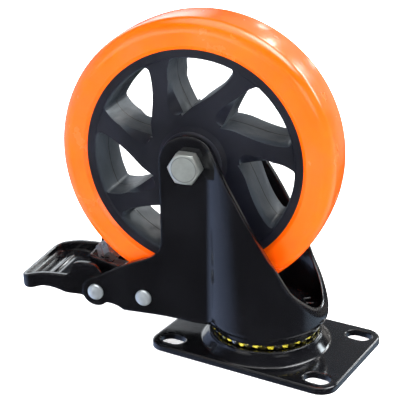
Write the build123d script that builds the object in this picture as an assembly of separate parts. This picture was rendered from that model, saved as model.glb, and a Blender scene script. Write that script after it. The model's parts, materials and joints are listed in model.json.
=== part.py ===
from build123d import *
from math import cos, hypot, pi, radians, sin, sqrt
import os

# Swivel castor with a wheel brake and swivel lock on one pedal, standing on its top plate.
# Millimetres. The origin is on the swivel axis in the plate's mounting face, and Z points up to
# the wheel. The plate's edges lie along X and Y. The fork and all it carries are drawn in their
# own frame, X towards the nose and Y along the axle, and then turned about Z by swivel_angle.

# Layout
swivel_angle = 12.2
crease_to_axle = 9.0905
ring_to_wheel = 5.0

# Wheel
wheel_diameter = 125.0
tread_width = 29.4
tread_crown = 0.9
tread_shoulder_radius = 6.0
tread_lip_radius = 1.2
tread_lip_height = 1.6
core_diameter = 98.2
core_width = 26.8
rim_width = 4.2
face_recess = 0.7
hub_width = 28.6
hub_diameter = 27.0
hub_cone_width = 2.2

# Windows of the core: angles in degrees, and shares of the rim's inner radius
window_count = 7
window_start_angle = 14.5
window_end_angle = 50.5
window_tip_angle = 51.0
window_tip_share = 0.449
window_pocket_depth = 4.0
window_corner_radius = 2.0

# Bearings, size 608
bearing_bore = 8.0
bearing_diameter = 22.0
bearing_width = 7.0
bearing_inner_shoulder = 12.0
bearing_outer_shoulder = 18.4
bearing_ball_diameter = 3.97
bearing_ball_count = 7
bearing_ball_clearance = 0.06
bearing_shield_gap = 0.4
bearing_shield_thickness = 0.4
bearing_shield_recess = 0.3

# Fork, one deep-drawn sheet
fork_thickness = 3.0
fork_inner_width = 33.0
crown_radius = 28.3
crown_edge_radius = 4.0
crown_rear_setback = 1.0
crease_radius = 6.0
leg_radius = 13.1
nose_rise = 1.1
wing_drop = 0.1
wing_step = 0.9
wing_lobe_radius = 6.9
wing_top_rise = 16.9
throat_rise = 23.2
throat_corner_rise = 34.9
waist_rise = 21.0
brow_rise = 12.3
hub_drop = 19.8

# Swivel races
main_ball_diameter = 5.6
main_ball_gap = 0.5
main_race_inset = 6.8
main_race_height = 10.3
main_race_half_gap = 1.4
race_land_depth = 2.4
race_land_outer = 3.4
race_land_inner = 3.5
inner_ball_diameter = 4.0
inner_ball_gap = 0.8
inner_race_inset = 7.5
inner_race_sink = 0.3
race_clearance = 0.08
race_channel_room = 0.4
race_channel_lift = 1.9

# Top plate
plate_length = 92.0
plate_thickness = 3.0
plate_corner_radius = 8.0
plate_edge_radius = 0.8
plate_side_land = 1.1
slot_inset_x = 9.5
slot_inset_y = 8.25
slot_length = 12.2
slot_width = 9.0
dome_land = 4.5
dome_flank = 3.4
dome_shoulder_drop = 1.6
dome_sheet = 2.8
dome_side_sheet = 1.5
dome_foot_radius = 0.9
dome_crest_radius = 0.45

# Kingpin and lock ring
kingpin_diameter = 12.0
kingpin_head_diameter = 18.0
kingpin_head_height = 3.6
kingpin_head_ease = 1.6
kingpin_play = 0.05
ring_side_room = 3.3
ring_flange_width = 5.2
ring_sheet = 2.4
ring_lift = 0.4
ring_dish_rise = 2.6
ring_notch_count = 24
ring_notch_width = 3.2
ring_notch_depth = 3.7

# Axle
axle_diameter = 8.0
axle_hole_play = 0.1
hex_across_flats = 13.0
bolt_head_height = 5.3
bolt_head_turn = 2.9
nut_height = 6.5
nut_collar_height = 1.5
nut_collar_radius = 5.6
axle_end_projection = 10.5
axle_end_chamfer = 0.8
sleeve_diameter = 12.0
sleeve_play = 0.05
guard_radius = 13.9
guard_sheet = 0.9
guard_gap = 0.5
guard_lip = 0.7

# Pivots: the lever's from the axle, the pedal's from the lever's plate, heights from the crown's floor
pedal_pivot_ahead = 1.8
pedal_pivot_rise = 7.4
lever_pivot_back = 22.5
lever_pivot_rise = 7.7
rivet_diameter = 6.0
rivet_head_diameter = 7.6
rivet_head_height = 2.0
rivet_play = 0.05
pivot_sleeve_diameter = 8.4
pivot_play = 0.06
side_play = 0.3
wing_play = 0.1
spacer_wall = 2.15

# Pedal, from its pivot
pedal_sheet = 2.0
pedal_width = 41.0
pedal_reach = 38.5
pedal_floor_drop = 2.1
pedal_lip_rise = 3.1
pedal_side_rise = 6.8
pedal_cheek_rise = 12.3
pedal_hub_radius = 6.3
pedal_tip_radius = 5.0
pedal_throat_reach = 8.0
pedal_ramp_reach = 17.0
pedal_hump_reach = 23.0
pedal_hollow_reach = 28.5
pedal_tip_roll = 4.2
pedal_neck_radius = 3.5
pedal_ridge_reach = 25.8
pedal_ridge_radius = 1.5
pedal_ridge_rise = 1.2
pedal_cam_reach = 4.4
pedal_cam_lift = 1.6

# Brake lever: its plate's two edges lie at gaps from the tread, at angles about the axle
lever_sheet = 2.0
lever_width = 20.0
lever_hub_radius = 5.6
plate_low_gap = 15.06
plate_low_angle = 231.86
plate_top_gap = 12.81
plate_top_angle = 224.3
tongue_lift = 4.3
tongue_tip_room = 0.3
tongue_width = 15.0
prong_length = 1.2
prong_width = 2.0
prong_count = 3

# Brake screw
screw_diameter = 6.0
screw_head_across_flats = 10.0
screw_nut_height = 2.9
screw_nut_gap = 0.3
screw_hole_play = 0.05
screw_seat_share = 0.6
shoe_gap = 4.9

# Return spring of the lever
spring_wire = 1.0
spring_room = 0.3
spring_turns = 5
spring_coil_gap = 0.9
spring_leg = 9.0

# Heights that follow, from the plate up
crown_bottom = main_race_height + main_race_half_gap + race_land_depth
crown_top = crown_bottom + fork_thickness
dome_top = main_race_height - main_race_half_gap
hollow_top = main_race_height - main_ball_diameter / 2 - dome_sheet
inner_ball_height = crown_top + inner_ball_diameter / 2 - inner_race_sink
ring_bottom = crown_top + ring_lift
ring_top = ring_bottom + ring_sheet
dish_top = ring_top + ring_dish_rise
wheel_radius = wheel_diameter / 2
axle_height = dish_top + ring_to_wheel + wheel_radius
pedal_pivot_z = crown_top + pedal_pivot_rise
lever_pivot_z = crown_top + lever_pivot_rise
tongue_bottom = ring_top + tongue_lift
wing_bottom = crown_top - wing_drop

# Radii about the swivel axis that follow, from the crown in and then out to the plate
main_race_radius = crown_radius - main_race_inset
main_ball_count = int(2 * pi * main_race_radius / (main_ball_diameter + main_ball_gap))
inner_race_radius = main_race_radius - inner_race_inset
inner_ball_count = int(2 * pi * inner_race_radius / (inner_ball_diameter + inner_ball_gap))
ring_radius = crown_radius - fork_thickness - ring_side_room
ring_step_radius = ring_radius - ring_flange_width
ring_notch_root = ring_radius - ring_notch_depth
tongue_tip_radius = ring_notch_root + tongue_tip_room
dome_rim_radius = main_race_radius + dome_land
dome_base_radius = dome_rim_radius + dome_flank
plate_width = 2 * (dome_base_radius + plate_side_land)
slot_spacing_x = plate_length - 2 * slot_inset_x
slot_spacing_y = plate_width - 2 * slot_inset_y

# Places along and across the fork that follow
fork_half = fork_inner_width / 2
leg_outer = fork_half + fork_thickness
crease_distance = sqrt(crown_radius**2 - leg_outer**2)
axle_offset = crease_distance + crease_to_axle
lever_pivot_x = -axle_offset - lever_pivot_back
plate_low_radius = wheel_radius + plate_low_gap
plate_top_radius = wheel_radius + plate_top_gap
plate_low_x = -axle_offset + plate_low_radius * cos(radians(plate_low_angle))
plate_low_z = axle_height + plate_low_radius * sin(radians(plate_low_angle))
plate_top_x = -axle_offset + plate_top_radius * cos(radians(plate_top_angle))
plate_top_z = axle_height + plate_top_radius * sin(radians(plate_top_angle))
pedal_pivot_x = plate_low_x + pedal_pivot_ahead
pedal_tip_x = pedal_pivot_x - pedal_reach
pedal_floor_z = pedal_pivot_z - pedal_floor_drop
pivot_half = fork_half - wing_play
spring_radius = pivot_sleeve_diameter / 2 + spring_room + spring_wire / 2

# Sizes of the wheel that follow
core_radius = core_diameter / 2
core_half = core_width / 2
tread_half = tread_width / 2
window_rim_radius = core_radius - rim_width
window_pitch = 360 / window_count
bearing_face = hub_width / 2
bearing_back = bearing_face - bearing_width


def turned(points):
    """A solid of revolution about Z from (radius, height) corners."""
    return revolve(Plane.XZ * make_face(Polyline(*points, close=True)), Axis.Z)


def turned_on_y(points):
    """A solid of revolution about Y from (radius, y) corners."""
    return revolve(make_face(Polyline(*points, close=True)), Axis.Y)


def side_prism(outline, half_width):
    """An outline in the X-Z plane, thickened the same way to both sides of it."""
    return extrude(Plane.XZ * outline, half_width, both=True)


def rod_on_y(radius, start, end):
    """A round rod along Y between two places."""
    return Pos(0, (start + end) / 2, 0) * Rot(90, 0, 0) * Cylinder(radius, end - start)


def tube_on_y(outer, inner, start, end):
    """A tube along Y between two places."""
    return rod_on_y(outer, start, end) - rod_on_y(inner, start - 1, end + 1)


def ball_ring(diameter, count, radius, height):
    """Balls spaced evenly on a circle about Z."""
    ball = Sphere(diameter / 2).solid()
    return Compound([Pos(x, y, height) * ball for x, y in circle_points(radius, count)])


def circle_points(radius, count):
    """Places spaced evenly on a circle."""
    turns = [2 * pi * index / count for index in range(count)]
    return [(radius * cos(turn), radius * sin(turn)) for turn in turns]


def at_axle(part):
    """Moves a part drawn about the Y axis to the wheel's axle."""
    return Pos(-axle_offset, 0, axle_height) * part


def around(centre, radius, angle):
    """A point on a circle in the plane."""
    return (centre[0] + radius * cos(radians(angle)), centre[1] + radius * sin(radians(angle)))


def polar(share, angle):
    """A point of the window's outline, as a share of its rim radius and an angle."""
    return around((0, 0), share * window_rim_radius, angle)


# Top plate

def make_top_plate():
    blank = extrude(RectangleRounded(plate_length, plate_width, plate_corner_radius), plate_thickness)
    blank = fillet(blank.edges().group_by(Axis.Z)[-1], plate_edge_radius)
    shoulder = dome_top - dome_shoulder_drop
    dome = turned([
        (0, 0),
        (dome_base_radius, 0),
        (dome_base_radius, plate_thickness),
        (dome_rim_radius, shoulder),
        (dome_rim_radius, dome_top),
        (0, dome_top),
    ])
    rims = dome.edges().filter_by(GeomType.CIRCLE)
    crest = rims.filter_by(lambda edge: edge.center().Z > shoulder + 0.1).sort_by(SortBy.RADIUS)[-1]
    dome = fillet(crest, dome_crest_radius)
    hollow = turned([
        (0, -1),
        (dome_base_radius - dome_side_sheet, -1),
        (dome_base_radius - dome_side_sheet, 0),
        (dome_rim_radius - dome_side_sheet, hollow_top),
        (0, hollow_top),
    ])
    plate = blank + dome - hollow
    foot = plate.edges().filter_by(GeomType.CIRCLE)
    foot = [edge for edge in foot if abs(edge.radius - dome_base_radius) < 0.01]
    foot = [edge for edge in foot if abs(edge.center().Z - plate_thickness) < 0.01]
    plate = fillet(foot, dome_foot_radius)
    groove = Torus(main_race_radius, main_ball_diameter / 2 + race_clearance)
    plate -= Pos(0, 0, main_race_height) * groove
    plate -= Pos(0, 0, hollow_top) * Cylinder(kingpin_diameter / 2 + kingpin_play, 3 * dome_top)
    slot = SlotOverall(slot_length, slot_width)
    cutter = extrude(slot, 2 * plate_thickness, both=True)
    for side_x in (-1, 1):
        for side_y in (-1, 1):
            plate -= Pos(side_x * slot_spacing_x / 2, side_y * slot_spacing_y / 2, 0) * cutter
    return plate


def make_kingpin():
    shaft = kingpin_diameter / 2
    head = kingpin_head_diameter / 2
    crown = head - kingpin_head_ease
    return turned([
        (0, hollow_top - kingpin_head_height),
        (crown, hollow_top - kingpin_head_height),
        (head, hollow_top - 0.5 * kingpin_head_height),
        (head, hollow_top),
        (shaft, hollow_top),
        (shaft, dish_top),
        (head, dish_top),
        (head, dish_top + 0.4 * kingpin_head_height),
        (crown, dish_top + 0.85 * kingpin_head_height),
        (0.5 * head, dish_top + kingpin_head_height),
        (0, dish_top + kingpin_head_height),
    ])


def make_lock_ring():
    ball = inner_ball_diameter / 2
    under_dish = dish_top - ring_sheet
    bore = kingpin_diameter / 2 + kingpin_play
    slope = ring_sheet / 4
    ring = turned([
        (bore, under_dish),
        (ring_step_radius - 2 * slope, under_dish),
        (ring_step_radius + slope, ring_bottom),
        (ring_radius, ring_bottom),
        (ring_radius, ring_top),
        (ring_step_radius + 2 * slope, ring_top),
        (ring_step_radius - slope, dish_top),
        (bore, dish_top),
    ])
    ring -= Pos(0, 0, inner_ball_height) * Torus(inner_race_radius, ball + race_clearance)
    reach = ring_radius - ring_notch_root + 1
    notch = Pos(ring_notch_root + reach / 2, 0, ring_top) * Box(reach, ring_notch_width, 3 * ring_sheet)
    for index in range(ring_notch_count):
        ring -= Rot(0, 0, 360 * index / ring_notch_count) * notch
    return ring


# Fork

def fork_plan():
    """The fork seen along the swivel axis: a round crown with two flat legs running back."""
    back = pedal_pivot_x - 2 * wing_lobe_radius
    legs = Pos(back / 2, 0) * Rectangle(-back, 2 * leg_outer)
    plan = Circle(crown_radius) + legs
    creases = [v for v in plan.vertices() if abs(v.X + crease_distance) < 0.5]
    return fillet(creases, crease_radius)


def fork_side():
    """The fork seen along the axle."""
    axle = (-axle_offset, axle_height)
    back_x = axle[0] - leg_radius
    lobe = (pedal_pivot_x, pedal_pivot_z)
    below = crown_bottom - 2
    front_x = crown_radius + 2
    nose = (front_x, crown_top + nose_rise)
    nose_low = (front_x, below)
    rear = (axle[0] + 6.6, crown_bottom)
    rear_low = (rear[0], below)
    rise = (axle[0] - 7.4, wing_bottom - 0.6)
    wing_start = (lever_pivot_x + 2.1, wing_bottom)
    wing_end = (lobe[0] + 14.2, wing_bottom)
    step = (lobe[0] + 12.2, wing_bottom + wing_step)
    lobe_low = around(lobe, wing_lobe_radius, -45)
    lobe_back = around(lobe, wing_lobe_radius, 180)
    lobe_top = around(lobe, wing_lobe_radius, 112)
    wing_top = (back_x - 14.4, lobe[1] + wing_top_rise)
    throat = (back_x - 2.2, lobe[1] + throat_rise)
    corner = (back_x, lobe[1] + throat_corner_rise)
    leg_back = (back_x, axle[1])
    leg_top = (axle[0], axle[1] + leg_radius)
    shoulder = around(axle, leg_radius, 32)
    middle = (-0.05 * crown_radius, axle[1] - hub_drop)
    waist = (0.55 * crown_radius, crown_top + waist_rise)
    brow = (0.757 * crown_radius, crown_top + brow_rise)
    edges = [
        Line(nose_low, rear_low),
        Line(rear_low, rear),
        Spline(rear, rise, wing_start, tangents=[(-1, 0.15), (-1, 0)]),
        Line(wing_start, wing_end),
        Spline(wing_end, step, lobe_low, tangents=[(-1, 0.1), (-1, -0.1)]),
        ThreePointArc(lobe_low, lobe_back, lobe_top),
        Spline(lobe_top, wing_top, throat, corner, tangents=[(1, 0.4), (0, 1)]),
        Line(corner, leg_back),
        ThreePointArc(leg_back, leg_top, shoulder),
        ThreePointArc(shoulder, middle, waist),
        Spline(waist, brow, nose, tangents=[(0.42, -0.9), (1, -0.6)]),
        Line(nose, nose_low),
    ]
    return make_face(Wire(edges))


def make_fork():
    height = axle_height + 2 * leg_radius - crown_bottom
    plan = fork_plan()
    body = Pos(0, 0, crown_bottom) * extrude(plan, height)
    body = fillet(body.edges().group_by(Axis.Z)[0], crown_edge_radius)
    inner_plan = offset(plan, -fork_thickness)
    cavity = Pos(0, 0, crown_top) * extrude(inner_plan, height)
    cavity = fillet(cavity.edges().group_by(Axis.Z)[0], crown_edge_radius - fork_thickness)
    body -= cavity
    back = pedal_pivot_x - 3 * wing_lobe_radius
    rear = Pos(back / 2, 0, crown_bottom) * Box(-back, fork_inner_width, 4 * fork_thickness)
    rear -= Pos(0, 0, crown_bottom) * Cylinder(crown_radius - crown_rear_setback, 5 * fork_thickness)
    body -= rear
    body &= side_prism(fork_side(), crown_radius + 1)
    land = main_race_height + main_race_half_gap
    land_root = crown_bottom + fork_thickness / 6
    body += turned([
        (main_race_radius - race_land_inner, land),
        (main_race_radius + race_land_outer, land),
        (main_race_radius + race_land_outer, land_root),
        (main_race_radius - race_land_inner, land_root),
    ])
    groove = Torus(main_race_radius, main_ball_diameter / 2 + race_clearance)
    body -= Pos(0, 0, main_race_height) * groove
    channel = Torus(main_race_radius, main_ball_diameter / 2 + race_channel_room)
    body -= Pos(0, 0, crown_top + race_channel_lift) * channel
    inner_groove = Torus(inner_race_radius, inner_ball_diameter / 2 + race_clearance)
    body -= Pos(0, 0, inner_ball_height) * inner_groove
    body -= Pos(0, 0, crown_bottom) * Cylinder(kingpin_diameter / 2 + kingpin_play, 6 * fork_thickness)
    body -= at_axle(rod_on_y(axle_diameter / 2 + axle_hole_play, -crown_radius, crown_radius))
    rivet_hole = rod_on_y(rivet_diameter / 2 + rivet_play, -crown_radius, crown_radius)
    body -= Pos(pedal_pivot_x, 0, pedal_pivot_z) * rivet_hole
    body -= Pos(lever_pivot_x, 0, lever_pivot_z) * rivet_hole
    return body


# Wheel

def make_tread():
    crest = wheel_radius - tread_crown
    lip = core_radius + tread_lip_height
    edges = [
        Line((core_radius, -core_half), (lip, -tread_half)),
        Line((lip, -tread_half), (crest, -tread_half)),
        ThreePointArc((crest, -tread_half), (wheel_radius, 0), (crest, tread_half)),
        Line((crest, tread_half), (lip, tread_half)),
        Line((lip, tread_half), (core_radius, core_half)),
        Line((core_radius, core_half), (core_radius, -core_half)),
    ]
    face = make_face(Wire(edges))
    shoulders = [v for v in face.vertices() if v.X > crest - 0.1]
    face = fillet(shoulders, tread_shoulder_radius)
    lips = [v for v in face.vertices() if abs(v.X - lip) < 0.1]
    face = fillet(lips, tread_lip_radius)
    return at_axle(revolve(face, Axis.Y))


def window_outline(rim, start, tip, end, tip_bend):
    """One window's outline: a swept blade shape between two spokes."""
    rim_start = polar(rim, start)
    rim_end = polar(rim, end)
    edges = [
        Spline(rim_start, polar(0.785, start + 4.2), polar(0.63, start + 13.5), tip),
        Spline(tip, *tip_bend, rim_end),
        ThreePointArc(rim_end, polar(rim, (start + end) / 2), rim_start),
    ]
    face = make_face(Wire(edges))
    corners = [v for v in face.vertices() if hypot(v.X, v.Y) > 0.95 * window_rim_radius]
    return fillet(corners, window_corner_radius)


def through_window():
    """The window's own outline, the same all the way through the core."""
    start, end, turn = window_start_angle, window_end_angle, window_tip_angle
    bend = [polar(0.58, turn + 3), polar(0.715, turn + 4.5)]
    return window_outline(1, start, polar(window_tip_share, turn), end, bend)


def pocket_floor():
    """The outline at the bottom of a pocket, a little inside the window's."""
    start, end, turn = window_start_angle + 0.5, window_end_angle - 0.4, window_tip_angle - 0.4
    bend = [polar(0.59, turn + 2.8), polar(0.72, turn + 4.3)]
    return window_outline(0.994, start, polar(window_tip_share + 0.011, turn), end, bend)


def pocket_mouth():
    """The outline of a pocket in the core's face, wider along the swept side and the tip."""
    start, end, turn = window_start_angle - 2, window_end_angle + 1, window_tip_angle + 4
    bend = [polar(0.5, turn + 10), polar(0.64, turn + 7), polar(0.86, turn - 1.5)]
    return window_outline(1.01, start, polar(window_tip_share + 0.021, turn), end, bend)


def window_cutters():
    """A window through the core, and a bevelled pocket round it on each face."""
    cutters = [side_prism(through_window(), core_half + 2)]
    depth = core_half - window_pocket_depth
    for side in (-1, 1):
        floor = Pos(0, side * depth, 0) * (Plane.XZ * pocket_floor())
        mouth = Pos(0, side * core_half, 0) * (Plane.XZ * pocket_mouth())
        cutters.append(loft([floor, mouth], ruled=True))
    return cutters


def make_wheel_core():
    face = core_half - face_recess
    seat = bearing_diameter / 2
    hub = hub_diameter / 2
    bore = bearing_outer_shoulder / 2
    half = [
        (bore, bearing_back),
        (seat, bearing_back),
        (seat, bearing_face),
        (hub, bearing_face),
        (hub + hub_cone_width, face),
        (window_rim_radius + 0.3, face),
        (window_rim_radius + 0.9, core_half),
        (core_radius, core_half),
    ]
    outline = half + [(radius, -y) for radius, y in reversed(half)]
    core = turned_on_y(outline)
    cutters = window_cutters()
    for index in range(window_count):
        for cutter in cutters:
            core -= Rot(0, index * window_pitch, 0) * cutter
    return at_axle(core)


# Bearings and axle

def bearing_ball_circle():
    return (bearing_inner_shoulder + bearing_outer_shoulder) / 4


def make_bearing(side):
    """Outer ring with its shields, inner ring and balls of the bearing on one side."""
    start, end = sorted((side * bearing_back, side * bearing_face))
    middle = (start + end) / 2
    ring_path = bearing_ball_circle()
    groove = Rot(90, 0, 0) * Torus(ring_path, bearing_ball_diameter / 2 + bearing_ball_clearance)
    outer = tube_on_y(bearing_diameter / 2, bearing_outer_shoulder / 2, start, end)
    outer -= Pos(0, middle, 0) * groove
    for shield in (start + bearing_shield_recess, end - bearing_shield_recess - bearing_shield_thickness):
        outer += tube_on_y(
            bearing_outer_shoulder / 2 + 0.2,
            bearing_inner_shoulder / 2 + bearing_shield_gap,
            shield,
            shield + bearing_shield_thickness,
        )
    inner = tube_on_y(bearing_inner_shoulder / 2, bearing_bore / 2 + sleeve_play, start, end)
    inner -= Pos(0, middle, 0) * groove
    ball = Sphere(bearing_ball_diameter / 2).solid()
    places = circle_points(ring_path, bearing_ball_count)
    balls = Compound([Pos(x, middle, z) * ball for x, z in places])
    return at_axle(outer), at_axle(inner), at_axle(balls)


def make_axle_sleeve():
    bore = axle_diameter / 2 + sleeve_play
    return at_axle(tube_on_y(sleeve_diameter / 2, bore, -bearing_back, bearing_back))


def make_guard(side):
    """Dished thread guard between a bearing and a leg."""
    bore = axle_diameter / 2 + sleeve_play
    near = bearing_face
    far = fork_half
    inside = bearing_face + guard_gap
    guard = turned_on_y([
        (bore, near),
        (bearing_inner_shoulder / 2, near),
        (bearing_inner_shoulder / 2, inside + guard_lip),
        (guard_radius - 1.5, inside + guard_lip),
        (guard_radius - 0.8, inside),
        (guard_radius, inside),
        (guard_radius, inside + 0.5 * guard_sheet),
        (guard_radius - 1.2, far),
        (bore, far),
    ])
    if side < 0:
        guard = mirror(guard, Plane.XZ)
    return at_axle(guard)


def hexagon_on_y(across_flats, start, end, turn=0.0):
    """A hexagonal prism along Y with its two rims eased."""
    radius = across_flats / sqrt(3)
    blank = extrude(RegularPolygon(radius, 6), (end - start) / 2, both=True)
    ease = 0.45 * (radius - across_flats / 2)
    half = (end - start) / 2
    body = turned([
        (0, -half),
        (across_flats / 2, -half),
        (radius, -half + ease),
        (radius, half - ease),
        (across_flats / 2, half),
        (0, half),
    ])
    return Pos(0, (start + end) / 2, 0) * Rot(0, turn, 0) * Rot(90, 0, 0) * (blank & body)


def make_axle_bolt():
    head = hexagon_on_y(hex_across_flats, -leg_outer - bolt_head_height, -leg_outer, bolt_head_turn)
    shank = rod_on_y(axle_diameter / 2, -leg_outer, leg_outer + axle_end_projection)
    end = shank.edges().filter_by(GeomType.CIRCLE).sort_by(Axis.Y)[-1]
    shank = chamfer(end, axle_end_chamfer)
    return at_axle(head + shank)


def make_axle_nut():
    nut = hexagon_on_y(hex_across_flats, leg_outer, leg_outer + nut_height)
    start = leg_outer + nut_height
    nut += rod_on_y(nut_collar_radius, start, start + nut_collar_height)
    nut -= rod_on_y(axle_diameter / 2 + sleeve_play, 0, 2 * leg_outer)
    return at_axle(nut)


# Pivots

def make_rivet(x, z):
    """A rivet through both wings with a low domed head on each side."""
    shank = rivet_diameter / 2
    head = rivet_head_diameter / 2
    rim = 0.3 * rivet_head_height
    crown = leg_outer + rivet_head_height
    half = [
        (shank, leg_outer),
        (head, leg_outer),
        (head, leg_outer + rim),
        (0.88 * head, leg_outer + 0.62 * rivet_head_height),
        (0.62 * head, leg_outer + 0.88 * rivet_head_height),
        (0.3 * head, crown),
        (0, crown),
    ]
    outline = [(radius, -y) for radius, y in reversed(half)] + half
    return Pos(x, 0, z) * turned_on_y(outline)


def make_pivot_sleeve(x, z, half_length):
    bore = rivet_diameter / 2 + rivet_play
    sleeve = tube_on_y(pivot_sleeve_diameter / 2, bore, -half_length, half_length)
    return Pos(x, 0, z) * sleeve


def make_lever_spacers():
    inner = rivet_diameter / 2 + rivet_play
    start = lever_width / 2 + 2 * side_play
    spacers = []
    for side in (-1, 1):
        low, high = sorted((side * start, side * pivot_half))
        tube = tube_on_y(inner + spacer_wall, inner, low, high)
        spacers.append((Pos(lever_pivot_x, 0, lever_pivot_z) * tube).solid())
    return Compound(spacers)


# Pedal

def pedal_plan(inset):
    """The pedal seen from above: a wide dish that narrows to fit between the wings."""
    wide = pedal_width / 2 - inset
    narrow = fork_half - side_play - inset
    tip = pedal_tip_x + inset
    neck = pedal_pivot_x - wing_lobe_radius - side_play - 1.5
    back = pedal_pivot_x + 2 * pedal_hub_radius
    outline = make_face(Polyline(
        (tip, -wide),
        (neck - 6, -wide),
        (neck, -narrow),
        (back, -narrow),
        (back, narrow),
        (neck, narrow),
        (neck - 6, wide),
        (tip, wide),
        close=True,
    ))
    tips = [v for v in outline.vertices() if abs(v.X - tip) < 0.1]
    outline = fillet(tips, pedal_tip_radius - inset)
    necks = [v for v in outline.vertices() if neck - 7 < v.X < neck + 1]
    return fillet(necks, pedal_neck_radius)


def pedal_floor_line(lift):
    """The dish's floor along the pedal, raised by lift."""
    low = pedal_floor_z + lift
    return [
        (pedal_pivot_x - pedal_throat_reach, low - 2.4),
        (pedal_pivot_x - pedal_ramp_reach, low + 0.8),
        (pedal_pivot_x - pedal_hump_reach, low + 2.0),
        (pedal_pivot_x - pedal_hollow_reach, low + 1.5),
        (pedal_tip_x + pedal_tip_roll, low),
    ]


def pedal_side():
    """The pedal's cheek seen along the axle."""
    hub = (pedal_pivot_x, pedal_pivot_z)
    top = around(hub, pedal_hub_radius, 50)
    bottom = around(hub, pedal_hub_radius, -90)
    floor = pedal_floor_line(0)
    side_z = hub[1] + pedal_side_rise
    cheek_z = hub[1] + pedal_cheek_rise
    tip_low = (pedal_tip_x - 0.2, pedal_floor_z + 3.8)
    tip_top = (pedal_tip_x - 0.2, hub[1] + pedal_lip_rise)
    side_start = (pedal_tip_x + 11, side_z - 0.6)
    side_end = (hub[0] - 15, side_z)
    cheek_start = (hub[0] - 10.5, cheek_z)
    cheek_end = (hub[0] - 4.5, cheek_z)
    edges = [
        ThreePointArc(top, (hub[0] + pedal_hub_radius, hub[1]), bottom),
        Spline(bottom, *floor, tangents=[(-1, 0), (-1, 0)]),
        Spline(floor[-1], tip_low, tangents=[(-1, 0), (0, 1)]),
        Line(tip_low, tip_top),
        Spline(tip_top, side_start, side_end, tangents=[(1, 0.35), (1, 0)]),
        Spline(side_end, cheek_start, tangents=[(1, 0), (1, 0.1)]),
        Line(cheek_start, cheek_end),
        Spline(cheek_end, top, tangents=[(1, -0.1), (0.75, -0.7)]),
    ]
    return make_face(Wire(edges))


def make_pedal():
    tall = 60
    body = extrude(pedal_plan(0), tall) & side_prism(pedal_side(), pedal_width)
    inner = extrude(pedal_plan(pedal_sheet), tall)
    floor = pedal_floor_line(pedal_sheet)
    cam = (pedal_pivot_x - pedal_cam_reach, plate_low_z + pedal_cam_lift)
    ramp_foot = (floor[1][0] - 1, floor[1][1] + 0.2)
    upper = [
        (pedal_tip_x - 5, tall),
        (pedal_tip_x - 5, floor[4][1] + 1.2),
        (pedal_tip_x + pedal_sheet, floor[4][1] + 1.2),
        (floor[4][0], floor[4][1]),
        (floor[3][0], floor[3][1]),
        (floor[2][0], floor[2][1]),
        ramp_foot,
        cam,
        (cam[0] + 1.0, cam[1] - 1.4),
        (cam[0] + 1.0, 0),
        (0, 0),
        (0, tall),
    ]
    under = [
        (floor[1][0], 0),
        (floor[1][0], ramp_foot[1] - pedal_sheet * 0.8),
        (cam[0] + 0.4, cam[1] - 2.2),
        (cam[0] + 2, 0),
    ]
    body -= inner & side_prism(make_face(Polyline(*upper, close=True)), pedal_width)
    body -= inner & side_prism(make_face(Polyline(*under, close=True)), pedal_width)
    ridge_x = pedal_pivot_x - pedal_ridge_reach
    ridge_z = pedal_floor_z + pedal_sheet + pedal_ridge_rise
    ridge_half = pedal_width / 2 - 2 * pedal_sheet
    body += Pos(ridge_x, 0, ridge_z) * rod_on_y(pedal_ridge_radius, -ridge_half, ridge_half)
    hole = rod_on_y(pivot_sleeve_diameter / 2 + pivot_play, -pedal_width, pedal_width)
    body -= Pos(pedal_pivot_x, 0, pedal_pivot_z) * hole
    return body


# Brake lever and its screw

def lever_plate_frame():
    """Middle of the plate's rear face, the way up the plate, and the way to the wheel."""
    low = Vector(plate_low_x, 0, plate_low_z)
    top = Vector(plate_top_x, 0, plate_top_z)
    up = (top - low).normalized()
    forward = Vector(up.Z, 0, -up.X)
    return low, top, up, forward


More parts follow.
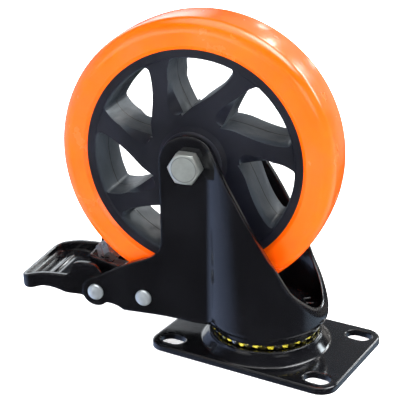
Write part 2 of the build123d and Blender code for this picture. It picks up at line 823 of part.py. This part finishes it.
def make_brake_lever():
    low, top, up, forward = lever_plate_frame()
    front_low = low + forward * lever_sheet
    front_top = top + forward * lever_sheet
    tip = -tongue_tip_radius
    tongue_top = tongue_bottom + lever_sheet
    plate = make_face(Polyline(
        (low.X, low.Z),
        (top.X, top.Z),
        (front_top.X, front_top.Z),
        (front_low.X, front_low.Z),
        close=True,
    ))
    half = lever_width / 2
    body = side_prism(plate, half)
    neck_x = lever_pivot_x + 9
    tongue_middle = tongue_bottom + lever_sheet / 2
    tongue = Pos((tip + neck_x) / 2, 0, tongue_middle) * Box(tip - neck_x, tongue_width, lever_sheet)
    shelf = Pos(neck_x - 1.5, 0, tongue_middle) * Box(2 * lever_sheet, lever_width, lever_sheet)
    flange = make_face(Polyline(
        (front_top.X - 1.2 * up.X, front_top.Z - 1.2 * up.Z),
        (lever_pivot_x - 12, lever_pivot_z + 8.2),
        (lever_pivot_x - 2, lever_pivot_z + lever_hub_radius - 0.2),
        (neck_x + 0.5, tongue_top),
        (neck_x + 0.5, tongue_bottom),
        (lever_pivot_x + 3, lever_pivot_z - lever_hub_radius + 0.8),
        (lever_pivot_x - 3, lever_pivot_z - lever_hub_radius + 0.8),
        (lever_pivot_x - 14, lever_pivot_z + 2.6),
        (low.X + 0.6 * lever_sheet, low.Z + 0.4),
        close=True,
    ))
    flange += Pos(lever_pivot_x, lever_pivot_z) * Circle(lever_hub_radius)
    cheeks = side_prism(flange, half) - side_prism(flange, half - lever_sheet)
    body = body + cheeks + shelf + tongue
    for index in range(prong_count):
        angle = 180 + (index - (prong_count - 1) / 2) * 360 / ring_notch_count
        reach = ring_radius - tongue_tip_radius - 0.6
        prong = Box(reach, prong_width, prong_length + 0.5)
        middle = tongue_tip_radius + reach / 2 + 0.5
        body += Rot(0, 0, angle) * Pos(middle, 0, tongue_bottom - prong_length / 2 + 0.25) * prong
    hole = rod_on_y(pivot_sleeve_diameter / 2 + pivot_play, -lever_width, lever_width)
    body -= Pos(lever_pivot_x, 0, lever_pivot_z) * hole
    return body - along_screw(Cylinder(screw_diameter / 2 + screw_hole_play, 6 * lever_sheet), 0)


def along_screw(part, distance):
    """Places a part drawn along Z on the screw's axis, distance ahead of the plate's rear face."""
    low, top, up, forward = lever_plate_frame()
    seat = low + (top - low) * screw_seat_share + forward * distance
    return Plane(origin=seat, x_dir=(0, 1, 0), z_dir=forward) * part


def screw_reach():
    """Length along the screw from the plate's rear face to the free end of its head."""
    low, top, up, forward = lever_plate_frame()
    seat = low + (top - low) * screw_seat_share
    hub = Vector(-axle_offset, 0, axle_height)
    along = (hub - seat).dot(forward)
    aside = sqrt((hub - seat).length ** 2 - along**2)
    return along - sqrt((wheel_radius + shoe_gap) ** 2 - aside**2)


def short_hexagon(across_flats, height):
    """A hexagonal prism along Z that stands on its origin, with its upper rim eased."""
    radius = across_flats / sqrt(3)
    ease = 0.45 * (radius - across_flats / 2)
    blank = extrude(RegularPolygon(radius, 6), height)
    body = turned([
        (0, 0),
        (radius, 0),
        (radius, height - ease),
        (across_flats / 2, height),
        (0, height),
    ])
    return blank & body


def make_brake_screw():
    start = lever_sheet + screw_nut_height + screw_nut_gap
    shank = Pos(0, 0, start / 2) * Cylinder(screw_diameter / 2, start)
    head = Pos(0, 0, start) * short_hexagon(screw_head_across_flats, screw_reach() - start)
    return along_screw(shank + head, 0)


def make_brake_nut():
    nut = short_hexagon(screw_head_across_flats, screw_nut_height)
    nut -= Cylinder(screw_diameter / 2 + screw_hole_play, 4 * screw_nut_height)
    return along_screw(nut, lever_sheet)


def make_lever_spring():
    """Torsion spring around the lever's sleeve, a leg at each end."""
    pitch = spring_wire + spring_coil_gap
    length = spring_turns * pitch
    coil = Helix(pitch, length, spring_radius)
    start = coil @ 0
    end = coil @ 1
    path = Wire([
        Line(start - (coil % 0) * spring_leg, start),
        coil,
        Line(end, end + (coil % 1) * spring_leg),
    ])
    section = Plane(origin=path @ 0, z_dir=path % 0) * Circle(spring_wire / 2)
    wire = sweep(section, path=path, transition=Transition.RIGHT)
    lying = Pos(0, length / 2, 0) * Rot(90, 0, 0) * wire
    return Pos(lever_pivot_x, 0, lever_pivot_z) * Rot(0, 90, 0) * lying


def group_main_balls():
    return ball_ring(main_ball_diameter, main_ball_count, main_race_radius, main_race_height)


def group_inner_balls():
    return ball_ring(inner_ball_diameter, inner_ball_count, inner_race_radius, inner_ball_height)


def main():
    os.makedirs("parts", exist_ok=True)
    near_outer, near_inner, near_balls = make_bearing(-1)
    far_outer, far_inner, far_balls = make_bearing(1)
    plate_parts = {
        "top_plate": make_top_plate(),
        "kingpin": make_kingpin(),
        "main_race_balls": group_main_balls(),
        "inner_race_balls": group_inner_balls(),
    }
    fork_parts = {
        "lock_ring": make_lock_ring(),
        "fork": make_fork(),
        "axle_bolt": make_axle_bolt(),
        "axle_nut": make_axle_nut(),
        "axle_sleeve": make_axle_sleeve(),
        "near_bearing_outer": near_outer,
        "near_bearing_inner": near_inner,
        "near_bearing_balls": near_balls,
        "far_bearing_outer": far_outer,
        "far_bearing_inner": far_inner,
        "far_bearing_balls": far_balls,
        "near_thread_guard": make_guard(-1),
        "far_thread_guard": make_guard(1),
        "wheel_core": make_wheel_core(),
        "wheel_tread": make_tread(),
        "pedal": make_pedal(),
        "pedal_rivet": make_rivet(pedal_pivot_x, pedal_pivot_z),
        "pedal_sleeve": make_pivot_sleeve(pedal_pivot_x, pedal_pivot_z, pivot_half),
        "brake_lever": make_brake_lever(),
        "lever_rivet": make_rivet(lever_pivot_x, lever_pivot_z),
        "lever_sleeve": make_pivot_sleeve(lever_pivot_x, lever_pivot_z, lever_width / 2 + side_play),
        "lever_spacers": make_lever_spacers(),
        "brake_screw": make_brake_screw(),
        "brake_nut": make_brake_nut(),
        "lever_spring": make_lever_spring(),
    }
    for name, part in plate_parts.items():
        export_step(part, f"parts/{name}.step")
    for name, part in fork_parts.items():
        export_step(part.rotate(Axis.Z, swivel_angle), f"parts/{name}.step")


main()
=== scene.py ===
import json
import math
import random

import bmesh
import bpy
from mathutils import Matrix, Vector


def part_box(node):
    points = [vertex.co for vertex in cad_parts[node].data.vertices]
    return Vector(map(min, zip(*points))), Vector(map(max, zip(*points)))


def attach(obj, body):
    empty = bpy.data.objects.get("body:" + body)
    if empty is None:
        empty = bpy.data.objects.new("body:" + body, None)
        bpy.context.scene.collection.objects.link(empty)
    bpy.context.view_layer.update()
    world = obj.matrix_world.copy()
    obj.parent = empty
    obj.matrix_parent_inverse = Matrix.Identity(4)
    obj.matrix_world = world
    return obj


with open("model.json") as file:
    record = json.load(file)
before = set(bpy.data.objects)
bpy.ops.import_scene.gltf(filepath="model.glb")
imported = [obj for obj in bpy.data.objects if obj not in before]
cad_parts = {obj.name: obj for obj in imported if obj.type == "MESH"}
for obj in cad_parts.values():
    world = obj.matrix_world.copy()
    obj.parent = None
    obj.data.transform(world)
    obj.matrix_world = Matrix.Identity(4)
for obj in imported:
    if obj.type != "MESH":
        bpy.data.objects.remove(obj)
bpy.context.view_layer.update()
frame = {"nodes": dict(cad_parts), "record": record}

# The fork and all it carries stand turned by this angle about the swivel axis.
SWIVEL = math.radians(12.2)
AXLE_DIRECTION = (-math.sin(SWIVEL), math.cos(SWIVEL), 0.0)
NODES = frame["nodes"]


# Node trees

class Graph:
    """Adds and wires the nodes of one node tree."""

    def __init__(self, tree):
        self.tree = tree

    def add(self, kind, **settings):
        node = self.tree.nodes.new(kind)
        for key, value in settings.items():
            setattr(node, key, value)
        return node

    def wire(self, source, node, name):
        self.tree.links.new(source, node.inputs[name])

    def feed(self, socket, value):
        """Links a socket to another node's output, or sets it to a plain value."""
        if isinstance(value, bpy.types.NodeSocket):
            self.tree.links.new(value, socket)
        else:
            socket.default_value = value

    def ramp(self, source, low, high, start, end):
        """Maps a value from low..high to start..end, smoothly."""
        node = self.add("ShaderNodeMapRange", interpolation_type="SMOOTHSTEP")
        self.wire(source, node, "Value")
        for name, value in (("From Min", low), ("From Max", high), ("To Min", start), ("To Max", end)):
            node.inputs[name].default_value = value
        return node.outputs["Result"]

    def math(self, kind, first, second=0.0):
        node = self.add("ShaderNodeMath", operation=kind)
        self.feed(node.inputs[0], first)
        self.feed(node.inputs[1], second)
        return node.outputs[0]

    def vector(self, kind, first, second=(0.0, 0.0, 0.0)):
        """Vector arithmetic that gives a vector."""
        node = self.add("ShaderNodeVectorMath", operation=kind)
        self.feed(node.inputs[0], first)
        self.feed(node.inputs[1], second)
        return node.outputs["Vector"]

    def dot(self, first, second):
        node = self.add("ShaderNodeVectorMath", operation="DOT_PRODUCT")
        self.feed(node.inputs[0], first)
        self.feed(node.inputs[1], second)
        return node.outputs["Value"]

    def length(self, vector):
        node = self.add("ShaderNodeVectorMath", operation="LENGTH")
        self.feed(node.inputs[0], vector)
        return node.outputs["Value"]

    def scaled(self, vector, factor):
        node = self.add("ShaderNodeVectorMath", operation="SCALE")
        self.feed(node.inputs[0], vector)
        self.feed(node.inputs["Scale"], factor)
        return node.outputs["Vector"]


# Materials

class Shader(Graph):
    """A node material built up from one Principled shader.

    The values given here are the plain ones, which its nodes may take over.
    """

    def __init__(self, name, color, roughness, **values):
        self.material = bpy.data.materials.new(name)
        self.material.use_nodes = True
        super().__init__(self.material.node_tree)
        self.surface = self.tree.nodes["Principled BSDF"]
        self.surface.inputs["Base Color"].default_value = (*color, 1)
        self.surface.inputs["Roughness"].default_value = roughness
        for key, value in values.items():
            self.surface.inputs[key.replace("_", " ")].default_value = value
        self.place = self.add("ShaderNodeTexCoord").outputs["Object"]

    def noise(self, scale, detail=3.0, roughness=0.5, stretch=None):
        node = self.add("ShaderNodeTexNoise")
        node.inputs["Scale"].default_value = scale
        node.inputs["Detail"].default_value = detail
        node.inputs["Roughness"].default_value = roughness
        place = self.place
        if stretch:
            mapping = self.add("ShaderNodeMapping")
            mapping.inputs["Scale"].default_value = stretch
            self.wire(place, mapping, "Vector")
            place = mapping.outputs["Vector"]
        self.wire(place, node, "Vector")
        return node.outputs["Fac"]

    def mottle(self, scale, detail, roughness=0.5, low=0.3, high=0.7):
        """A share from 0 to 1 that wanders over the surface in soft patches."""
        return self.ramp(self.noise(scale, detail, roughness), low, high, 0, 1)

    def blend(self, share, first, second):
        """Mixes two colors, each plain or from another node."""
        node = self.add("ShaderNodeMix", data_type="RGBA")
        self.wire(share, node, "Factor")
        for index, value in ((6, first), (7, second)):
            self.feed(node.inputs[index], (*value, 1) if isinstance(value, tuple) else value)
        return node.outputs[2]

    def across(self, direction):
        """Signed distance of a point from a plane through the origin, in metres."""
        return self.dot(self.place, direction)

    def from_axis(self, center, direction):
        """Distance of a point from an axis, in metres."""
        offset = self.vector("SUBTRACT", self.place, center)
        return self.length(self.vector("CROSS_PRODUCT", offset, direction))

    def facing(self, direction):
        """1 where the surface faces the direction, 0 where it lies along it."""
        return self.dot(self.add("ShaderNodeTexCoord").outputs["Normal"], direction)

    def bump(self, height, strength, distance, edge_radius=0.0):
        """Relief from a height; edge_radius softens the look of sharp edges."""
        node = self.add("ShaderNodeBump")
        node.inputs["Strength"].default_value = strength
        node.inputs["Distance"].default_value = distance
        self.wire(height, node, "Height")
        if edge_radius:
            rounding = self.add("ShaderNodeBevel", samples=8)
            rounding.inputs["Radius"].default_value = edge_radius
            self.wire(rounding.outputs["Normal"], node, "Normal")
        self.wire(node.outputs["Normal"], self.surface, "Normal")

    def color(self, source):
        self.wire(source, self.surface, "Base Color")

    def roughness(self, source):
        self.wire(source, self.surface, "Roughness")

    def uneven_roughness(self, scale, low, high, detail=5, top=0.75):
        """Roughness that wanders from low to high over the surface."""
        self.roughness(self.ramp(self.noise(scale, detail, 0.6), 0.3, top, low, high))


# Details that only the materials show, in metres apart from the slope
ENAMEL_EDGE = 0.0015
METAL_EDGE = 0.0004
PARTING_LINE_CORE = 0.0003
PARTING_LINE_EDGE = 0.00055
BOLT_CONE_RADIUS = 0.0055
BOLT_CONE_SLOPE = 0.4
# Half width of the dark ring of painted shade on the bolt's head
BOLT_SHADE_RING_WIDTH = 0.0003


def make_enamel():
    """Thick glossy black enamel with a faint orange peel."""
    shader = Shader(
        "black_enamel", (0.005, 0.0052, 0.007), 0.2,
        Specular_IOR_Level=0.42, Coat_Weight=0.35, Coat_Roughness=0.06,
    )
    tone = shader.mottle(28, 4, low=0.35)
    shader.color(shader.blend(tone, (0.0026, 0.0026, 0.0033), (0.0048, 0.0049, 0.0062)))
    shader.uneven_roughness(90, 0.1, 0.2)
    peel = shader.noise(420, 2)
    grit = shader.math("MULTIPLY", shader.noise(1700, 3), 0.1)
    shader.bump(shader.math("ADD", peel, grit), 0.08, 0.0002, ENAMEL_EDGE)
    return shader.material


def make_plastic():
    """Satin black moulded nylon with the mould's parting line half way; the drawn walls are painted paler,
    a painted sheen for grazing light.
    """
    shader = Shader("black_plastic", (0.008, 0.0085, 0.0125), 0.42, Specular_IOR_Level=0.25)
    tone = shader.mottle(45, 4)
    face = shader.blend(tone, (0.0052, 0.0058, 0.0102), (0.0098, 0.0108, 0.0178))
    # The walls' paler colour is a painted sheen that stands for the grazing light they catch, picked out by
    # the surface's facing.
    painted_sheen_wall = shader.blend(tone, (0.026, 0.032, 0.039), (0.044, 0.053, 0.064))
    squareness = shader.math("ABSOLUTE", shader.facing(AXLE_DIRECTION))
    plain = shader.blend(shader.ramp(squareness, 0.3, 0.75, 1, 0), face, painted_sheen_wall)
    offset = shader.math("ABSOLUTE", shader.across(AXLE_DIRECTION))
    line = shader.ramp(offset, PARTING_LINE_CORE, PARTING_LINE_EDGE, 1, 0)
    shader.color(shader.blend(line, plain, (0.001, 0.001, 0.0015)))
    shader.uneven_roughness(160, 0.34, 0.5)
    grain = shader.math("MULTIPLY", shader.noise(2600, 3), 0.12)
    shader.bump(shader.math("SUBTRACT", grain, line), 0.5, 0.00025)
    return shader.material


def make_tread_rubber():
    """Cast orange polyurethane, glossy and a little translucent."""
    shader = Shader(
        "orange_tread", (1.0, 0.105, 0.001), 0.2,
        Subsurface_Weight=0.25, Subsurface_Scale=0.004, Subsurface_Radius=(1.0, 0.35, 0.08),
        Coat_Weight=0.2, Coat_Roughness=0.08,
    )
    tone = shader.mottle(32, 4)
    shader.color(shader.blend(tone, (1.0, 0.094, 0.0), (1.0, 0.112, 0.001)))
    shader.uneven_roughness(70, 0.16, 0.3, detail=4)
    shader.bump(shader.noise(300, 3), 0.08, 0.0003)
    return shader.material


def make_metal(name, color, shade, roughness, bump, grain=(1, 1, 1)):
    """A metal with a mottled finish and a fine grain, which is finer along an axis of more than 1."""
    shader = Shader(name, color, roughness, Metallic=0.8)
    tone = shader.mottle(170, 5, 0.65)
    shader.color(shader.blend(tone, color, shade))
    shader.uneven_roughness(500, 0.85 * roughness, 1.15 * roughness, detail=4, top=0.7)
    shader.bump(shader.noise(1500, 3, 0.6, grain), bump, 0.00015, METAL_EDGE)
    return shader.material


def make_bolt_zinc():
    """The bolt's zinc, with the shallow turned cone round the middle of its head and a dark ring of painted
    shade where the flat middle meets the cone.
    """
    shader = Shader("bolt_zinc", (0.54, 0.575, 0.545), 0.34, Metallic=0.8)
    low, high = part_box("wheel_tread")
    center = [(a + b) / 2 for a, b in zip(low, high)]
    beyond = shader.math("SUBTRACT", shader.from_axis(center, AXLE_DIRECTION), BOLT_CONE_RADIUS)
    # Painted shade: the colour darkens in a thin ring where the flat middle meets the cone.
    painted_ring_shade = shader.ramp(shader.math("ABSOLUTE", beyond), 0.0, BOLT_SHADE_RING_WIDTH, 1, 0)
    tone = shader.mottle(170, 5, 0.65)
    bright = shader.blend(tone, (0.55, 0.585, 0.555), (0.45, 0.48, 0.455))
    shader.color(shader.blend(painted_ring_shade, bright, (0.22, 0.24, 0.235)))
    shader.uneven_roughness(500, 0.3, 0.4, detail=4, top=0.7)
    fall = shader.math("MULTIPLY", shader.math("MAXIMUM", beyond), -BOLT_CONE_SLOPE)
    grain = shader.math("MULTIPLY", shader.noise(1500, 3), 0.00001)
    shader.bump(shader.math("ADD", fall, grain), 1.0, 1.0, METAL_EDGE)
    return shader.material


def make_grease():
    """Yellow bearing grease, soft and wet."""
    shader = Shader("grease", (0.62, 0.5, 0.03), 0.2, Coat_Weight=0.6, Coat_Roughness=0.08)
    tone = shader.mottle(420, 3)
    shader.color(shader.blend(tone, (0.42, 0.34, 0.012), (0.85, 0.72, 0.09)))
    shader.bump(shader.noise(900, 3), 0.4, 0.0003)
    return shader.material


def make_greased_steel():
    """Polished balls with a film of yellow grease in patches."""
    shader = Shader("ball_steel", (0.6, 0.6, 0.58), 0.14, Metallic=1.0)
    film = shader.mottle(330, 3, low=0.38, high=0.58)
    shader.color(shader.blend(film, (0.62, 0.62, 0.6), (0.72, 0.6, 0.08)))
    shader.roughness(shader.ramp(film, 0, 1, 0.1, 0.26))
    shader.bump(shader.noise(800, 3), 0.12, 0.0002)
    return shader.material


def make_floor_paint():
    """Pale matt paint that glows a little, so that the floor stays white all round."""
    shader = Shader(
        "floor_paint", (0.9, 0.9, 0.9), 0.8,
        Specular_IOR_Level=0.1, Emission_Color=(1.0, 1.0, 1.0, 1.0), Emission_Strength=0.56,
    )
    shader.color(shader.blend(shader.noise(6, 3), (0.93, 0.93, 0.935), (0.95, 0.95, 0.95)))
    return shader.material


SLOT_MATERIALS = {
    "black_enamel": make_enamel(),
    "black_plastic": make_plastic(),
    "orange_tread": make_tread_rubber(),
    "zinc": make_metal("zinc", (0.68, 0.74, 0.77), (0.56, 0.61, 0.64), roughness=0.36, bump=0.06),
    "bearing_steel": make_metal(
        "bearing_steel", (0.55, 0.56, 0.57), (0.42, 0.43, 0.44), roughness=0.2, bump=0.08, grain=(1, 6, 1)),
    "spring_steel": make_metal(
        "spring_steel", (0.3, 0.3, 0.31), (0.2, 0.2, 0.21), roughness=0.28, bump=0.1, grain=(6, 1, 1)),
    "ball_steel": make_greased_steel(),
}

# The bolt has its own finish, and the brake's screw and nut get a darker copy of the rivets' zinc as
# painted shade.
ZINC_PAINTED_SHADE = make_metal("zinc_painted_shade", (0.3, 0.32, 0.34), (0.2, 0.215, 0.23), roughness=0.3, bump=0.1)
NODE_MATERIALS = {"axle_bolt": make_bolt_zinc(), "brake_screw": ZINC_PAINTED_SHADE, "brake_nut": ZINC_PAINTED_SHADE}


def paint_nodes():
    slots = {part["node"]: part["material_slot"] for part in frame["record"]["subparts"]}
    for name, node in NODES.items():
        node.data.materials.clear()
        node.data.materials.append(NODE_MATERIALS.get(name) or SLOT_MATERIALS[slots[name]])


paint_nodes()


# Eased edges on the CAD pieces, as paint, moulding and pressing leave them

WELD_DISTANCE = 2e-6
SHARP_ANGLE = math.radians(35)


def ease_edges(names, width, segments=2):
    """Rounds the sharp edges of some nodes, width in metres."""
    for name in names:
        node = NODES[name]
        weld = node.modifiers.new("weld", "WELD")
        weld.merge_threshold = WELD_DISTANCE
        bevel = node.modifiers.new("ease", "BEVEL")
        bevel.width = width
        bevel.segments = segments
        bevel.limit_method = "ANGLE"
        bevel.angle_limit = SHARP_ANGLE
        bevel.use_clamp_overlap = True


ease_edges(["fork"], 0.0007, 3)
ease_edges(["pedal"], 0.0004, 3)
ease_edges(["top_plate", "lock_ring", "wheel_core"], 0.0004)
ease_edges(["brake_lever", "near_thread_guard", "far_thread_guard"], 0.00025)
ease_edges(["axle_bolt", "axle_nut", "brake_screw", "brake_nut"], 0.00025)


def add_object(name, mesh):
    """Makes a smooth object of a bmesh, which is used up."""
    data = bpy.data.meshes.new(name)
    mesh.to_mesh(data)
    mesh.free()
    data.polygons.foreach_set("use_smooth", [True] * len(data.polygons))
    piece = bpy.data.objects.new(name, data)
    bpy.context.scene.collection.objects.link(piece)
    return piece


# Grease pressed out between the balls of the main race

BALL_COUNT = 22
RACE_RADIUS = 0.0215
RACE_HEIGHT = 0.0103
GREASE_STANDOFF = 0.0016
GREASE_PLAY = 0.0003
DROP_SIZE = (0.0011, 0.0014, 0.0009)


def grease_blob(index, rng):
    """A small lumpy drop of grease between two balls."""
    turn = 2 * math.pi * (index + 0.5) / BALL_COUNT
    mesh = bmesh.new()
    bmesh.ops.create_icosphere(mesh, subdivisions=3, radius=1.0)
    size = Vector(DROP_SIZE) * rng.uniform(0.7, 1.1)
    phase = [rng.uniform(0, 6.28) for _ in range(3)]
    for vert in mesh.verts:
        lump = 1 + 0.16 * math.sin(3 * vert.co.x + phase[0]) + 0.14 * math.sin(4 * vert.co.y + phase[1])
        lump += 0.12 * math.sin(5 * vert.co.z + phase[2])
        vert.co = Vector((vert.co.x * size.x, vert.co.y * size.y, vert.co.z * size.z)) * lump
    height = RACE_HEIGHT + rng.uniform(-GREASE_PLAY, GREASE_PLAY)
    place = Vector((RACE_RADIUS + GREASE_STANDOFF, 0, height))
    mesh.transform(Matrix.Rotation(turn, 4, "Z") @ Matrix.Translation(place))
    return mesh


def make_race_grease():
    rng = random.Random(7)
    whole = bmesh.new()
    for index in range(BALL_COUNT):
        blob = grease_blob(index, rng)
        data = bpy.data.meshes.new("drop")
        blob.to_mesh(data)
        whole.from_mesh(data)
        blob.free()
        bpy.data.meshes.remove(data)
    piece = add_object("race_grease", whole)
    piece.data.materials.append(make_grease())
    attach(piece, "base")


make_race_grease()


# Stage: a pale floor that curves up into a wall all round

FLOOR_SIDES = 96
FLOOR_PROFILE = [(0.5, 0.0), (1.6, 0.0), (2.2, 0.06), (2.6, 0.25), (2.85, 0.6), (2.95, 1.2), (3.0, 2.2)]


def make_floor():
    mesh = bmesh.new()
    rings = []
    for radius, height in FLOOR_PROFILE:
        ring = []
        for index in range(FLOOR_SIDES):
            turn = 2 * math.pi * index / FLOOR_SIDES
            ring.append(mesh.verts.new((radius * math.cos(turn), radius * math.sin(turn), height)))
        rings.append(ring)
    mesh.faces.new(rings[0])
    for inner, outer in zip(rings, rings[1:]):
        for index in range(FLOOR_SIDES):
            after = (index + 1) % FLOOR_SIDES
            mesh.faces.new((inner[index], outer[index], outer[after], inner[after]))
    floor = add_object("floor", mesh)
    floor.data.materials.append(make_floor_paint())
    floor.visible_glossy = False
    floor.visible_shadow = False


make_floor()


# Light: a dark sky with soft patches, which gloss mirrors, and two softboxes

def direction(azimuth, elevation):
    """Unit vector towards a place round the object; azimuth 0 is the -Y side, 90 the +X side."""
    turn, lift = math.radians(azimuth), math.radians(elevation)
    return Vector((math.sin(turn) * math.cos(lift), -math.cos(turn) * math.cos(lift), math.sin(lift)))


# Azimuth, elevation, radius of the full light, radius where it ends, color and strength of each patch
SKY_PATCHES = [
    # The main light, from above, and a high side light for the tread's running face
    (0, 90, 16, 38, (1.0, 1.0, 1.0), 2.6),
    (128, 58, 10, 22, (0.96, 0.98, 1.0), 11.0),
    # Bluish glow along the fork's crease, and under the right of its crown
    (-80, -22, 10, 58, (0.5, 0.64, 1.0), 0.9),
    (136, -27, 8, 36, (0.6, 0.78, 1.0), 0.7),
    # Flecks and sheen on the tread
    (-177, 25, 0.5, 2.6, (1.0, 1.0, 1.0), 15.0),
    (-166, 17, 0.5, 2, (1.0, 1.0, 1.0), 8.0),
    (-178, 6, 0.5, 2, (1.0, 1.0, 1.0), 6.0),
    (-178, 17, 12, 26, (1.0, 0.95, 0.88), 0.36),
    (178, -8, 5, 13, (1.0, 0.95, 0.88), 0.36),
    # The plate's rim and the bright crescent of its dome
    (164, 21, 3, 7, (0.88, 0.96, 1.0), 26.0),
    (147, 18, 3, 8, (0.85, 0.94, 1.0), 13.0),
    # The pedal's slope and floor, and the plate's top
    (176, 33, 3, 7, (1.0, 1.0, 1.0), 14.0),
    (-134, 16, 6, 20, (0.9, 0.95, 1.0), 2.6),
    (-158, 32, 6, 14, (0.7, 0.85, 1.0), 0.12),
]
SKY_BASE = (0.027, 0.027, 0.031)


def make_sky():
    world = bpy.data.worlds.new("studio")
    bpy.context.scene.world = world
    world.use_nodes = True
    sky = Graph(world.node_tree)
    place = sky.add("ShaderNodeTexCoord").outputs["Generated"]
    total = SKY_BASE
    for azimuth, elevation, inner, outer, color, strength in SKY_PATCHES:
        closeness = sky.dot(place, direction(azimuth, elevation))
        edge, middle = math.cos(math.radians(outer)), math.cos(math.radians(inner))
        spread = sky.ramp(closeness, edge, middle, 0, 1)
        glow = sky.scaled([channel * strength for channel in color], spread)
        total = sky.vector("ADD", glow, total)
    sky.wire(total, sky.tree.nodes["Background"], "Color")


make_sky()

LIGHT_AIM = Vector((-0.02, 0, 0.075))


def area_light(name, azimuth, elevation, distance, size, power):
    """A softbox that faces LIGHT_AIM, in metres and watts."""
    data = bpy.data.lights.new(name, "AREA")
    data.shape = "RECTANGLE"
    data.size, data.size_y = size
    data.energy = power
    light = bpy.data.objects.new(name, data)
    bpy.context.scene.collection.objects.link(light)
    away = direction(azimuth, elevation)
    light.location = LIGHT_AIM + away * distance
    light.rotation_euler = away.to_track_quat("Z", "Y").to_euler()


area_light("key", -14, 8, 1.5, (0.9, 0.5), 2)
area_light("fill", 60, 20, 1.6, (0.7, 0.5), 2)


# Camera, at the photo's viewing angle

CAMERA_PLACE = Vector((0.2080, -0.3969, 0.24275))
CAMERA_AZIMUTH = 31.4
CAMERA_ELEVATION = 21.0
CAMERA_ROLL = math.radians(-1.05)
CAMERA_LENS = 98.28


def make_camera():
    data = bpy.data.cameras.new("camera")
    data.sensor_width = 36
    data.lens = CAMERA_LENS
    data.clip_start = 0.02
    data.clip_end = 20
    camera = bpy.data.objects.new("camera", data)
    bpy.context.scene.collection.objects.link(camera)
    back = direction(CAMERA_AZIMUTH, CAMERA_ELEVATION)
    level = Vector((0, 0, 1)).cross(back).normalized()
    rise = back.cross(level)
    right = level * math.cos(CAMERA_ROLL) + rise * math.sin(CAMERA_ROLL)
    up = rise * math.cos(CAMERA_ROLL) - level * math.sin(CAMERA_ROLL)
    turn = Matrix((right, up, back)).transposed().to_4x4()
    camera.matrix_world = Matrix.Translation(CAMERA_PLACE) @ turn
    bpy.context.scene.camera = camera


make_camera()
bpy.context.scene.view_settings.view_transform = "Standard"
